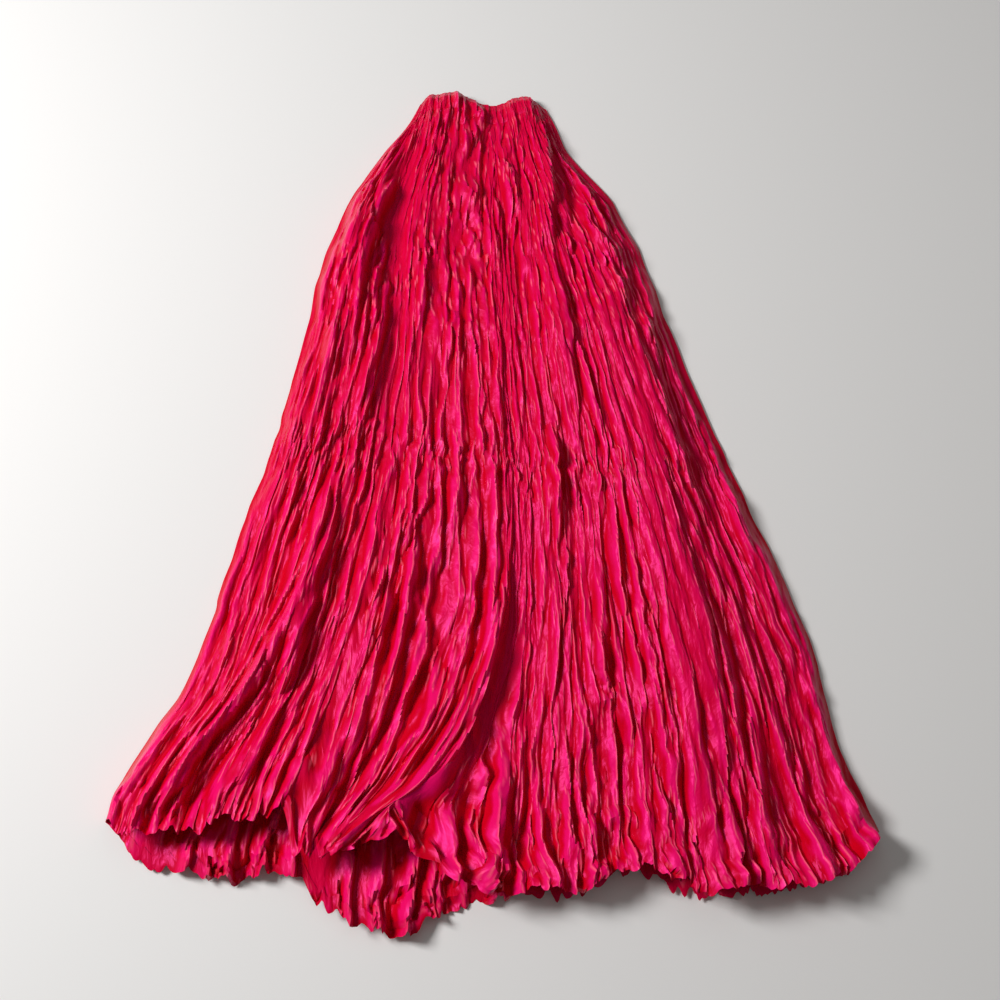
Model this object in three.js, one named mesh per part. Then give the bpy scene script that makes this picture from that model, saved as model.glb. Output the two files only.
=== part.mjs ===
// A pleated maxi skirt of crinkled satin, laid flat: its front panel lies on its back panel.
// The waistband is a gathered elastic casing, and both hems are turned up inside. The cloth fans
// out from the waist to the hem, where one deep fold sweeps to the left and the front hem is
// lifted in two low arches, so that the skirt stands open there.
//
// Millimetres. +Z is up, +Y runs from the hem to the waist, and +X is to the right as the skirt is
// seen from above with its waist away from the viewer. The origin is on the surface under the
// middle of the skirt.
//
// Places on the cloth are given as down, 0 at the waistband's top and 1 at the hem, and across,
// 0 at the left side seam and 1 at the right one.
import * as THREE from "three";

const WALL = 2; // a panel's cloth with its fine crinkles, measured upwards
const BAND_WALL = 3; // two layers of cloth round elastic
const HEM_WALL = 1.2;
const LAYER_GAP = 0.4; // between layers that lie on each other
const HEM_GAP = 0.8; // between a panel and its turned hem, measured upwards at steep pleats
const SEAM_GAP = 0.9; // between a waistband and its panel, measured down the slanting seam
const BAND_WIDTH = 28;
const HEM_WIDTH = 16;
const HEM_INSET = 0.03; // share of the width at each side seam that the turned hem leaves free
const EDGE_ROLL = 42; // how far in from a side seam the front panel reaches its full height
const RIGHT_FLANK = 70; // how much further in that is at the right side, low down
const FLANK_DOWN = [0.35, 0.8]; // shares down between which it widens to that
const EDGE_ROUNDNESS = 1.6; // 1: the rolled edge is a straight slope, 2: it rises steeply, then levels
const FRONT_COLUMNS = 68; // two to a pleat: its crest and its valley
const BACK_COLUMNS = 72; // three to a pleat: its crest and a flat valley
const FRONT_ROWS = 13;
const BACK_ROWS = 9;
const PLEAT_STEEPNESS = 0.42; // half a pleat's height over the distance from crest to valley
const TALLEST_PLEAT = 6; // half its height
const FRONT_UNEVENNESS = 0.3; // share by which one front pleat's height differs from the mean
const BACK_UNEVENNESS = 0.2;
const PLEAT_STRAY = 0.2; // how far a pleat's line strays from its even place, in columns
const PLEAT_KINK = 0.12; // how far it strays at single rows, in columns
const BACK_CREST = 3.4; // how far the back panel's pleats stand off the surface
const CREST_GAP = 1.6; // least gap between the back panel's pleats and the front panel
const CLEAR_FROM = 0.45; // share of the rolled edge by which the front panel clears those pleats
const BACK_FLAT_EDGE = 30; // the back panel's pleats fade out this far from its side seams
const BAND_GATHER = 1; // height of the small gathers of the waistband
const LIFT_FROM = 0.84; // down, where the front panel starts to lift towards its hem
const HUMP_TO = 0.12; // down, where the waistband's humps have died away
const HEM_ROOM = [0.9, 0.96]; // down, over which the front panel makes room for the turned hems
const FOLD_FULLNESS = 0.7; // under 1: folds keep their height for most of their length

// Rows of named values, from a list of names and a list of rows.
const table = (names, rows) =>
  rows.map((row) => Object.fromEntries(names.map((name, i) => [name, row[i]])));

// Across, where six pleats and the two side seams run.
const LINES = {
  left: 0,
  outerLeft: 0.18,
  innerLeft: 0.33,
  sweep: 0.48,
  underSweep: 0.53,
  centre: 0.61,
  innerRight: 0.8,
  right: 1,
};
// Down, then the x of each of those lines, then the front panel's mean height between the edges.
// prettier-ignore
const SECTIONS = table(["down", ...Object.keys(LINES), "loft"], [
  [0.00,  -98,  -86,  -59,  -21,  -6, 11,  36,  60,  8],
  [0.03, -110,  -90,  -60,  -22,  -6, 14,  41,  72, 10],
  [0.08, -139,  -98,  -65,  -23,  -5, 20,  50,  92, 13],
  [0.15, -179, -115,  -75,  -22,  -4, 28,  71, 136, 15],
  [0.25, -208, -133,  -82,  -19,  -2, 36, 100, 176, 15],
  [0.40, -234, -147,  -85,  -14,   7, 49, 135, 217, 14],
  [0.55, -264, -168,  -91,   -7,  19, 62, 167, 265, 14],
  [0.70, -298, -195, -108,   -6,  21, 67, 194, 315, 14],
  [0.82, -330, -222, -133,  -25,   8, 68, 210, 348, 14],
  [0.92, -378, -255, -167,  -97, -36, 63, 219, 366, 15],
  [0.96, -395, -269, -180, -135, -54, 62, 219, 381, 16],
  [1.00, -406, -282, -192, -167, -72, 61, 218, 394, 16],
]);

// The waistband's upper edge: its y, and how far its two humps stand up.
const WAIST = [
  { across: 0, y: 492, hump: 0 },
  { across: 0.18, y: 503, hump: 9 },
  { across: 0.33, y: 503, hump: 12 },
  { across: 0.53, y: 487, hump: 0 },
  { across: 0.66, y: 495, hump: 6 },
  { across: 0.8, y: 498, hump: 10 },
  { across: 1, y: 485, hump: 0 },
];
// The front hem: its y, and how far it is lifted.
const FRONT_HEM = [
  { across: 0, y: -394, lift: 0 },
  { across: 0.05, y: -408, lift: 2 },
  { across: 0.13, y: -404, lift: 20 },
  { across: 0.22, y: -390, lift: 32 },
  { across: 0.29, y: -395, lift: 20 },
  { across: 0.33, y: -421, lift: 2 },
  { across: 0.48, y: -428, lift: 12 },
  { across: 0.506, y: -412, lift: 34 },
  { across: 0.53, y: -442, lift: 6 },
  { across: 0.57, y: -464, lift: 0 },
  { across: 0.61, y: -465, lift: 0 },
  { across: 0.68, y: -441, lift: 3 },
  { across: 0.79, y: -464, lift: 0 },
  { across: 0.88, y: -458, lift: 2 },
  { across: 0.95, y: -444, lift: 0 },
  { across: 1, y: -404, lift: 0 },
];
// The back hem, which runs on below the front one at the left.
const BACK_HEM = [
  { across: 0, y: -394 },
  { across: 0.06, y: -438 },
  { across: 0.14, y: -449 },
  { across: 0.24, y: -446 },
  { across: 0.28, y: -476 },
  { across: 0.37, y: -505 },
  { across: 0.44, y: -484 },
  { across: 0.52, y: -468 },
  { across: 0.6, y: -464 },
  { across: 0.67, y: -444 },
  { across: 0.77, y: -467 },
  { across: 0.88, y: -461 },
  { across: 0.95, y: -444 },
  { across: 1, y: -404 },
];

// The largest folds of the front panel. Each runs down the cloth from one place to another, and
// rises or sinks by `rise`, over widths to its left and right that are given in millimetres.
// prettier-ignore
const FOLDS = table(["name", "from", "start", "to", "end", "rise", "toLeft", "toRight"], [
  ["upper left ridge",  0.03, 0.07, 0.50, 0.12,  15, 30, 16],
  ["upper left trough", 0.08, 0.22, 0.56, 0.24,  -8, 16, 22],
  ["upper right ridge", 0.03, 0.86, 0.38, 0.675, 12, 24, 12],
  ["right shoulder",    0.12, 0.86, 1.10, 0.84,  22, 90, 80],
  ["sweeping fold",     0.64, 0.49, 1.12, 0.455, 17, 24, 16],
  ["lower left fold",   0.66, 0.16, 1.04, 0.05,  17, 24, 16],
  ["middle trough",     0.56, 0.56, 0.97, 0.55,  -8, 18, 24],
  ["lower trough",      0.74, 0.68, 1.02, 0.68,  -8, 14, 14],
]);

// A column of a table at a place between its rows, along a smooth curve that never overshoots.
function between(rows, key, at, column) {
  const last = rows.length - 1;
  const x = Math.min(Math.max(at, rows[0][key]), rows[last][key]);
  const i = Math.max(0, Math.min(last - 1, rows.findIndex((row) => row[key] > x) - 1));
  const step = (k) => rows[k + 1][key] - rows[k][key];
  const slope = (k) => (rows[k + 1][column] - rows[k][column]) / step(k);
  const tangent = (k) => {
    if (k === 0) return slope(0);
    if (k === last) return slope(last - 1);
    const [before, after] = [slope(k - 1), slope(k)];
    return before * after <= 0 ? 0 : (2 * before * after) / (before + after);
  };
  const index = x >= rows[last][key] ? last - 1 : i;
  const h = step(index);
  const u = (x - rows[index][key]) / h;
  const [a, b] = [rows[index][column], rows[index + 1][column]];
  return (
    a * (1 + 2 * u) * (1 - u) ** 2 +
    b * u * u * (3 - 2 * u) +
    h * u * (1 - u) ** 2 * tangent(index) -
    h * u * u * (1 - u) * tangent(index + 1)
  );
}

const lineAt = (down, column) => between(SECTIONS, "down", down, column);
const smooth = (from, to, at) => THREE.MathUtils.smoothstep(at, from, to);
// A repeatable number from -1 to 1 for a whole number.
const uneven = (n) => Math.sin(n * 12.9898 + 4.1) * Math.cos(n * 78.233);

function frontX(down, across) {
  const rows = Object.entries(LINES).map(([line, at]) => ({ at, x: lineAt(down, line) }));
  return between(rows, "at", across, "x");
}

const backX = (down, across) =>
  THREE.MathUtils.lerp(lineAt(down, "left"), lineAt(down, "right"), across);

function yAt(down, across, hem) {
  const top = between(WAIST, "across", across, "y");
  return THREE.MathUtils.lerp(top, between(hem, "across", across, "y"), down);
}

// From the waistband's upper edge to the hem, at one place across.
const cutLength = (across, hem) => yAt(0, across, hem) - yAt(1, across, hem);

// The down at which the panels begin, just below the waistband.
const seamDown = (across, hem) => (BAND_WIDTH + SEAM_GAP) / cutLength(across, hem);

function foldHeight(down, across, x) {
  return FOLDS.reduce((sum, fold) => {
    const along = (down - fold.from) / (fold.to - fold.from);
    if (along <= 0 || along >= 1) return sum;
    const middle = frontX(down, THREE.MathUtils.lerp(fold.start, fold.end, along));
    const offset = x - middle;
    const width = offset < 0 ? fold.toLeft : fold.toRight;
    const swell = Math.sin(Math.PI * along) ** FOLD_FULLNESS;
    return sum + fold.rise * swell * Math.exp(-((offset / width) ** 2));
  }, 0);
}

// How far a place is from the nearer side seam.
const fromSeam = (down, x) => Math.min(x - lineAt(down, "left"), lineAt(down, "right") - x);

// How fully the front panel stands off the surface: 0 at the side seams, 1 beyond the rolled edge.
function edgeShare(down, x) {
  const flank = EDGE_ROLL + RIGHT_FLANK * smooth(...FLANK_DOWN, down);
  const left = (x - lineAt(down, "left")) / EDGE_ROLL;
  const right = (lineAt(down, "right") - x) / flank;
  const inside = THREE.MathUtils.clamp(Math.min(left, right), 0, 1);
  return 1 - (1 - inside) ** EDGE_ROUNDNESS;
}

// The height of the front panel's lower face, without its pleats.
function frontHeight(down, across, x) {
  const share = edgeShare(down, x);
  const lift = between(FRONT_HEM, "across", across, "lift") * smooth(LIFT_FROM, 1, down);
  const hump = between(WAIST, "across", across, "hump") * (1 - smooth(0, HUMP_TO, down));
  const seat = WALL + LAYER_GAP;
  return seat + share * (lineAt(down, "loft") - seat + foldHeight(down, across, x) + lift + hump);
}

// The least height at which the front panel clears the back one and its turned hem.
function clearance(down, share) {
  const turnedHems = 2 * (HEM_WALL + HEM_GAP) * smooth(...HEM_ROOM, down);
  const full = BACK_CREST + CREST_GAP + turnedHems;
  return WALL + LAYER_GAP + Math.min(1, share / CLEAR_FROM) * full;
}

// Half the height of the front panel's pleats: where its columns are closer, they are lower.
function pleatHeight(down, across) {
  const step = 0.5 / FRONT_COLUMNS;
  const pitch = frontX(down, across + step) - frontX(down, across - step);
  return Math.min(TALLEST_PLEAT, PLEAT_STEEPNESS * pitch);
}

function frontPoint(down, across, column) {
  const x = frontX(down, across);
  const share = edgeShare(down, x);
  const side = column % 2 ? 1 : -1;
  const pleat = side * pleatHeight(down, across) * share * (1 + FRONT_UNEVENNESS * uneven(column));
  const z = frontHeight(down, across, x) + pleat;
  return new THREE.Vector3(x, yAt(down, across, FRONT_HEM), Math.max(z, clearance(down, share)));
}

// The back panel lies on the surface: of each pleat's three columns, two are flat on it.
const backCrest = (column, height) => (column % 3 === 2 ? height : 0);

function backPoint(down, across, column) {
  const x = backX(down, across);
  const pitch = (backX(down, 1) - backX(down, 0)) / BACK_COLUMNS;
  const height = Math.min(BACK_CREST, pitch) * (1 + BACK_UNEVENNESS * uneven(column));
  const z = backCrest(column, height) * smooth(BACK_FLAT_EDGE / 2, BACK_FLAT_EDGE, fromSeam(down, x));
  return new THREE.Vector3(x, yAt(down, across, BACK_HEM), z);
}

// A closed wall over a grid of points on its lower face. pointAt takes a row's and a column's
// number.
function wall(columns, rows, thickness, pointAt) {
  const lower = [];
  for (let j = 0; j <= rows; j++)
    for (let i = 0; i <= columns; i++) lower.push(pointAt(j, i));
  const upper = lower.map((p) => new THREE.Vector3(p.x, p.y, p.z + thickness));
  const index = [];
  const [top, width] = [lower.length, columns + 1];
  const quad = (a, b, c, d) => index.push(a, b, c, a, c, d);
  for (let j = 0; j < rows; j++)
    for (let i = 0; i < columns; i++) {
      const at = j * width + i;
      quad(at, at + 1, at + width + 1, at + width);
      quad(top + at, top + at + width, top + at + width + 1, top + at + 1);
    }
  const end = rows * width;
  for (let i = 0; i < columns; i++) {
    quad(i, top + i, top + i + 1, i + 1);
    quad(end + i, end + i + 1, top + end + i + 1, top + end + i);
  }
  for (let j = 0; j < rows; j++) {
    const [left, right] = [j * width, j * width + columns];
    quad(left, left + width, top + left + width, top + left);
    quad(right, top + right, top + right + width, right + width);
  }
  return new THREE.BufferGeometry().setFromPoints([...lower, ...upper]).setIndex(index);
}

// Where a column crosses a row. The pleats are uneven and crooked; the side seams are not.
function pleatPlace(column, row, columns) {
  if (column === 0 || column === columns) return column / columns;
  const stray = PLEAT_STRAY * uneven(column + 3) + PLEAT_KINK * uneven(7 * column + 13 * row);
  return (column + stray) / columns;
}

// The down of one of a panel's rows. The last row but one is where its turned hem ends.
function rowDown(row, across, { rows, hem }) {
  const hemTop = 1 - HEM_WIDTH / cutLength(across, hem);
  return row === rows ? 1 : THREE.MathUtils.lerp(seamDown(across, hem), hemTop, row / (rows - 1));
}

function panelPoint(row, column, cut) {
  const across = pleatPlace(column, row, cut.columns);
  return cut.pointAt(rowDown(row, across, cut), across, column);
}

const panel = (cut) =>
  wall(cut.columns, cut.rows, WALL, (row, column) => panelPoint(row, column, cut));

// A narrow hem, turned up on the inside of a panel, made from the panel's last two rows of points.
function turnedHem(cut, offset) {
  const first = Math.ceil(cut.columns * HEM_INSET);
  return wall(cut.columns - 2 * first, 1, HEM_WALL, (row, column) => {
    const point = panelPoint(cut.rows - 1 + row, first + column, cut);
    return point.setZ(point.z + offset);
  });
}

// The waistband's casing, with a gather over each pleat of its panel.
function waistband(cut) {
  return wall(cut.columns, 1, BAND_WALL, (row, column) => {
    const across = pleatPlace(column, 0, cut.columns);
    const down = (row * BAND_WIDTH) / cutLength(across, cut.hem);
    const x = cut.xAt(down, across);
    const gather = cut.gatherAt(column) * edgeShare(down, x);
    return new THREE.Vector3(x, yAt(down, across, cut.hem), cut.bandHeight(down, across, x) + gather);
  });
}

const FRONT = {
  columns: FRONT_COLUMNS,
  rows: FRONT_ROWS,
  hem: FRONT_HEM,
  xAt: frontX,
  pointAt: frontPoint,
  gatherAt: (column) => (column % 2 ? BAND_GATHER : 0),
  bandHeight: (down, across, x) => frontHeight(down, across, x) + BAND_WALL - WALL,
};
const BACK = {
  columns: BACK_COLUMNS,
  rows: BACK_ROWS,
  hem: BACK_HEM,
  xAt: backX,
  pointAt: backPoint,
  gatherAt: (column) => backCrest(column, BAND_GATHER),
  bandHeight: () => 0,
};

const satin = (name, color) =>
  new THREE.MeshStandardMaterial({ name, color, roughness: 0.45, metalness: 0, side: THREE.DoubleSide });
const outer = satin("crimson satin", 0xc4083c);
const inner = satin("crimson satin, inside and turned edges", 0xa30730);

const pieces = [
  ["panel_front", outer, panel(FRONT)],
  ["panel_back", outer, panel(BACK)],
  ["waistband_front", outer, waistband(FRONT)],
  ["waistband_back", outer, waistband(BACK)],
  ["hem_front", inner, turnedHem(FRONT, -HEM_GAP - HEM_WALL)],
  ["hem_back", inner, turnedHem(BACK, WALL + HEM_GAP)],
];

const skirt = new THREE.Group();
skirt.name = "pleated_maxi_skirt";
for (const [name, material, geometry] of pieces) {
  geometry.computeVertexNormals();
  const mesh = new THREE.Mesh(geometry, material);
  mesh.name = name;
  skirt.add(mesh);
}
const box = new THREE.Box3().setFromObject(skirt);
const middle = box.getCenter(new THREE.Vector3());
skirt.position.set(-middle.x, -middle.y, -box.min.z);

export default skirt;
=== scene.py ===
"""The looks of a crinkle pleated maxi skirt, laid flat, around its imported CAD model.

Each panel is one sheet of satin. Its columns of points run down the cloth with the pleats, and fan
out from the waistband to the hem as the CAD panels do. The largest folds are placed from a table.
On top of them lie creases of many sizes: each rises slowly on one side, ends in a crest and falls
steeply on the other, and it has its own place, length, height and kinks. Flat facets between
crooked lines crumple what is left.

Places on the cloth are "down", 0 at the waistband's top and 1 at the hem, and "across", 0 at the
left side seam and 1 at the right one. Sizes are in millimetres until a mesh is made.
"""
import math

import bpy
import numpy as np
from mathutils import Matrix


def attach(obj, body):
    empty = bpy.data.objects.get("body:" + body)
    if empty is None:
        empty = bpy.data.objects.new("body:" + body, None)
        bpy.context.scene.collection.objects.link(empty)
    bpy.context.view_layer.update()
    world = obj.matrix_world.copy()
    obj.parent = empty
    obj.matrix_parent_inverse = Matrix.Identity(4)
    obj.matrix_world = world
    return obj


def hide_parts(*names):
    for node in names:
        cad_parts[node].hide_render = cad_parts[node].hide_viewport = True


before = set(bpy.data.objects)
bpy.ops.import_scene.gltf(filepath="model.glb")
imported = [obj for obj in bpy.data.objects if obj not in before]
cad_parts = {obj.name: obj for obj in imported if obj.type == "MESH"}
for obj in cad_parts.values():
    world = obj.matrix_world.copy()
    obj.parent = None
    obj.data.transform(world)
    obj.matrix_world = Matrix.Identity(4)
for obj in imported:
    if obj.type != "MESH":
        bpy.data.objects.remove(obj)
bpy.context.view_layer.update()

MM = 0.001
SEED = 20417

# The lines of the fan: where six pleats and the two side seams run, as shares of the width. The
# fourth is the right edge of the fold that sweeps to the left, the fifth the first pleat beyond it.
SWEEP_EDGE = 0.5
BEYOND_SWEEP = 0.54
LINES = (0, 0.18, 0.33, SWEEP_EDGE, BEYOND_SWEEP, 0.61, 0.8, 1)
# Down, then each line's x, then the front panel's mean height away from the side seams.
SECTIONS = np.array([
    (0.00, -98, -86, -59, -18, -3, 11, 36, 60, 9),
    (0.03, -110, -90, -60, -17, -2, 14, 41, 72, 12),
    (0.08, -139, -98, -65, -17, 0, 20, 50, 92, 15),
    (0.15, -179, -115, -75, -15, 4, 28, 71, 136, 17),
    (0.25, -208, -133, -82, -12, 8, 36, 100, 176, 17),
    (0.40, -234, -147, -85, -5, 15, 49, 135, 217, 16),
    (0.55, -264, -168, -91, 4, 27, 62, 167, 265, 15),
    (0.70, -298, -195, -108, 7, 28, 67, 194, 315, 16),
    (0.82, -330, -222, -133, -15, 13, 68, 210, 348, 16),
    (0.92, -378, -255, -160, -62, 1, 63, 219, 366, 17),
    (0.96, -395, -269, -178, -115, -5, 62, 219, 381, 17),
    (1.00, -406, -282, -195, -166, -10, 61, 218, 394, 18),
])
LEFT_SEAM = 1  # columns of that table
RIGHT_SEAM = 8
LOFT = 9
CENTRING = (6, 0.95)  # how far the CAD model is moved to put its middle on the origin

# Across, y of the waistband's upper edge, and the height of its two humps.
WAIST = np.array([
    (0.00, 492, 0),
    (0.18, 503, 10),
    (0.33, 503, 14),
    (0.53, 487, 0),
    (0.66, 495, 8),
    (0.80, 498, 12),
    (1.00, 485, 0),
])
# Across, y of the front hem, and how far it is lifted.
FRONT_HEM = np.array([
    (0.00, -394, 0),
    (0.05, -408, 2),
    (0.13, -404, 12),
    (0.22, -390, 18),
    (0.27, -392, 14),
    (0.285, -424, 6),
    (0.33, -426, 4),
    (0.50, -428, 14),
    (0.514, -410, 34),
    (0.526, -446, 6),
    (0.54, -464, 2),
    (0.61, -465, 0),
    (0.68, -441, 3),
    (0.79, -464, 0),
    (0.88, -458, 2),
    (0.95, -444, 0),
    (1.00, -404, 0),
])
# Across and y of the back hem.
BACK_HEM = np.array([
    (0.00, -394),
    (0.06, -438),
    (0.14, -449),
    (0.24, -446),
    (0.28, -476),
    (0.37, -505),
    (0.44, -484),
    (0.52, -468),
    (0.60, -464),
    (0.67, -444),
    (0.77, -467),
    (0.88, -461),
    (0.95, -444),
    (1.00, -404),
])

# Rows of points. A place down the cloth is a share of its length.
BAND_END = 0.031  # where the waistband ends and the panel starts
BAND_ROWS = 8
HEM_START = 0.985  # where the turned hem ends
HEM_ROWS = 5
# Where down the cloth its spread is measured. The hem counts for as much as all the rest.
SPREAD_AT = np.array([0.3, 0.55, 0.75, 0.92, 1, 1, 1, 1])
EVENNESS = 0.85  # 0: columns of points evenly spread across the cut, 1: evenly on the laid-out cloth

# Where down the cloth something begins and where it has its full strength.
LEAN_DOWN = (-0.01, 0.03)
SEAM_STRAYS_DOWN = (0, 0.08)
FLANK_DOWN = (0.35, 0.8)
PEEL_DOWN = (0.62, 0.82)
LIFT_DOWN = (0.84, 1)
HEM_CREASES_DOWN = (0.88, 1)
FRONT_HEM_DOWN = (0.9, 0.97)
BACK_HEM_DOWN = (0.88, 0.95)
TRAIL_DOWN = (0.9, 1)
EDGE_DOWN = (0.93, 1)
# And where something starts to fade and where it is gone.
WAIST_EDGE = (0, 0.012)
HUMP_UNTIL = (0, 0.12)
UPPER_UNTIL = (0.2, 0.42)
SEAM_STRAYS_UNTIL = (0.97, 1)

TIE = 0.53  # where the pleats are pinched, as if the skirt was stored twisted and tied there
TIE_REACH = 0.03
PUCKER = 0.05  # where the cloth is puckered under the waistband
PUCKER_REACH = 0.05
CASING_GROOVE = 1.5  # depth of the line along which the waistband is sewn down
GROOVE_REACH = 0.003
GROOVE_INSET = 3  # it is at its deepest from one third of the edge's roll inwards

SEAM_HEIGHT = 2.6  # height of the side seams over the surface
EDGE_ROLL = 52  # how far in from a side seam the front panel reaches its full height
ROLL_POWER = 1.3  # 1: that edge rises in a straight slope, 2: in a parabola
RIGHT_FLANK = 90  # how much further in that is at the right side, low down
BARE_EDGE = 12  # how far in from a side seam the creases reach their full height
CREASE_ROOM = 7  # what the creases add to the front panel's mean height
LEAST_GAP = 4  # least height of the front panel over the seams
GAP_RUN = 30  # how far in from a side seam it has that
SINK = (0.5, 5)  # height over which cloth is held up above that, at the seams and further in
TALL = 38  # cloth that would stand higher than this flops down to a share of the rest
CREST_SQUASH = 0.45  # that share
WAIST_TURN = 0.35  # how far the waistband's upper edge comes down, as a share of its height
LEAN = 0.3  # how far a crease leans over, as a share of its height
PEEL = 0.65  # how tightly pleats are bunched along the sweeping fold's edge before they peel off
PEEL_BEND = 24  # the bend of a pleat where it peels off

BACK_HEIGHT = 0.4  # of the back panel where it rests
BACK_ROLL = 16  # how far in from a side seam the back panel rests on the surface
BACK_CREASES_TOP = 5  # greatest height of the back panel's creases under the front one
TRAIL_TOP = 9  # how much higher they may be where the front hem leaves them bare
TRAIL_LEFT = (0.05, 0.14)  # across, where that part begins
TRAIL_RIGHT = (0.48, 0.58)  # across, where it ends

UPPER_CALM = 0.35  # share by which the creases are lower in the upper part
HEM_STRENGTH = 0.4  # share by which they are higher near the front hem
EDGE_CALM = 0.35  # how quickly the pleats may stray, going in from a side seam: 0 at once
NARROW_STRAY = 0.7  # how much more of the width they stray where the cloth is narrower
SEAM_HOLD = 8  # how quickly the cloth stops following a side seam's unevenness, going in

# How far pleats stray sideways as shares of the width, how many lines across stray each on its own,
# and how long a straight run of them is, as a share of the length. The front's second and third are
# stronger where the cloth is tied or puckered, and its last is for the hem's edge only.
FRONT_STRAYS = ((0.004, 30, 0.13), (0.0018, 90, 0.05), (0.0008, 220, 0.018), (0.005, 60, 0.03))
BACK_STRAYS = ((0.006, 30, 0.11), (0.003, 80, 0.05))
# How far the side seams stray, in mm, and how long a straight run of them is.
SEAM_STRAYS = ((3, 0.07), (1.6, 0.025))

# The waves of a hem's edge: how many across, and their size.
HEM_WAVES = ((12, 0.9), (26, 1.0), (47, 0.8), (95, 0.45))
WAVE_LENGTHS = (0.4, 1.6)  # of waves, against the mean one
WAVE_HEIGHTS = (0, 1.2)
MEAN_WAVE = 0.6  # about the mean of a wave between 0 and 1
FRONT_WAVES = 12  # their depth at the front hem
LEFT_WAVES = 4  # how much deeper they are at its left
LEFT_WAVES_UNTIL = (0.3, 0.45)  # across, where that ends
BACK_WAVES = 13  # their depth at the back hem


def along(table, column, at):
    """A table's column at places between its rows, on a smooth curve that never overshoots."""
    rows, values = table[:, 0], table[:, column]
    slope = np.diff(values) / np.diff(rows)
    before, after = slope[:-1], slope[1:]
    same_way = before * after > 0
    total = np.where(same_way, before + after, 1)
    inner = np.where(same_way, 2 * before * after / total, 0)
    tangent = np.concatenate([slope[:1], inner, slope[-1:]])
    at = np.clip(at, rows[0], rows[-1])
    k = np.clip(np.searchsorted(rows, at, side="right") - 1, 0, len(rows) - 2)
    h = rows[k + 1] - rows[k]
    u = (at - rows[k]) / h
    return (
        values[k] * (1 + 2 * u) * (1 - u) ** 2
        + values[k + 1] * u * u * (3 - 2 * u)
        + h * u * (1 - u) ** 2 * tangent[k]
        - h * u * u * (1 - u) * tangent[k + 1]
    )


def smooth(low, high, at):
    """0 below low, 1 above high, and a smooth step between them."""
    t = np.clip((at - low) / (high - low), 0, 1)
    return t * t * (3 - 2 * t)


def fan_x(down, across):
    """x of each point of a grid: down is a column of rows, across is the whole grid."""
    lines = [along(SECTIONS, LEFT_SEAM + i, down) for i in range(len(LINES))]
    rows = [
        along(np.column_stack([LINES, line]), 1, places)
        for line, places in zip(np.stack(lines, axis=1), across)
    ]
    x = np.array(rows)
    # Between the sweeping fold's edge and the pleat beyond it, the pleats peel off the edge one by
    # one and then run down beside each other.
    edge = lines[LINES.index(SWEEP_EDGE)][:, None]
    beyond = lines[LINES.index(BEYOND_SWEEP)][:, None]
    t = (across - SWEEP_EDGE) / (BEYOND_SWEEP - SWEEP_EDGE)
    bunched = edge + (beyond - edge) * t * (1 - PEEL * smooth(*PEEL_DOWN, down)[:, None])
    peeled = edge[-1] + (beyond[-1] - edge[-1]) * t + beyond - beyond[-1]
    blend = PEEL_BEND * t * (1 - t)
    wedge = (bunched + peeled + np.sqrt((bunched - peeled) ** 2 + blend**2)) / 2
    return np.where((t > 0) & (t < 1), wedge, x)


def column_places(columns):
    """Places across for the columns of points, closer where the cloth spreads most."""
    places = np.linspace(0, 1, 400)
    x = fan_x(SPREAD_AT, np.broadcast_to(places, (len(SPREAD_AT), len(places))))
    spread = ((x - x[:, :1]) / (x[:, -1:] - x[:, :1])).mean(0)
    share = EVENNESS * spread + (1 - EVENNESS) * places
    return np.interp(np.linspace(0, 1, columns), share, places)


KNOT_STRAY = 0.4  # how far a knot is from its even place, as a share of the gap between knots


def kinked(rng, lines, places, knot_gap):
    """For each line, a crooked run of values from -1 to 1 along places: straight between knots."""
    runs = np.empty((lines, len(places)))
    length = places[-1] - places[0]
    for line in range(lines):
        count = int(length / knot_gap) + 3
        stray = rng.uniform(-KNOT_STRAY, KNOT_STRAY, count)
        knots = places[0] + (np.arange(count) - 1 + stray) * knot_gap
        runs[line] = np.interp(places, knots, rng.uniform(-1, 1, count))
    return runs


def around(at, place, reach):
    """1 at a place, and less the further from it."""
    return np.exp(-(((at - place) / reach) ** 2))


def tie_at(down):
    """1 where the pleats are tied and 0 away from there."""
    return around(down, TIE, TIE_REACH)


def wander(rng, down, across, lines, knot_gap):
    """A crooked field over the grid, -1 to 1: smooth across the cloth and kinked down it."""
    runs = kinked(rng, lines, down, knot_gap)
    weight = np.clip(across * (lines - 1), 0, lines - 1.001)
    k = weight.astype(int)
    f = weight - k
    f = f * f * (3 - 2 * f)
    return (runs[k] * (1 - f)[:, None] + runs[k + 1] * f[:, None]).T


FACET_VARIETY = 0.6  # how much the height of crests and valleys varies along them
WIDEST_FACET = 1.6  # against the median one of its row
PITCH_REACH = 6  # columns to either side of a place over which their spacing is measured


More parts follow.
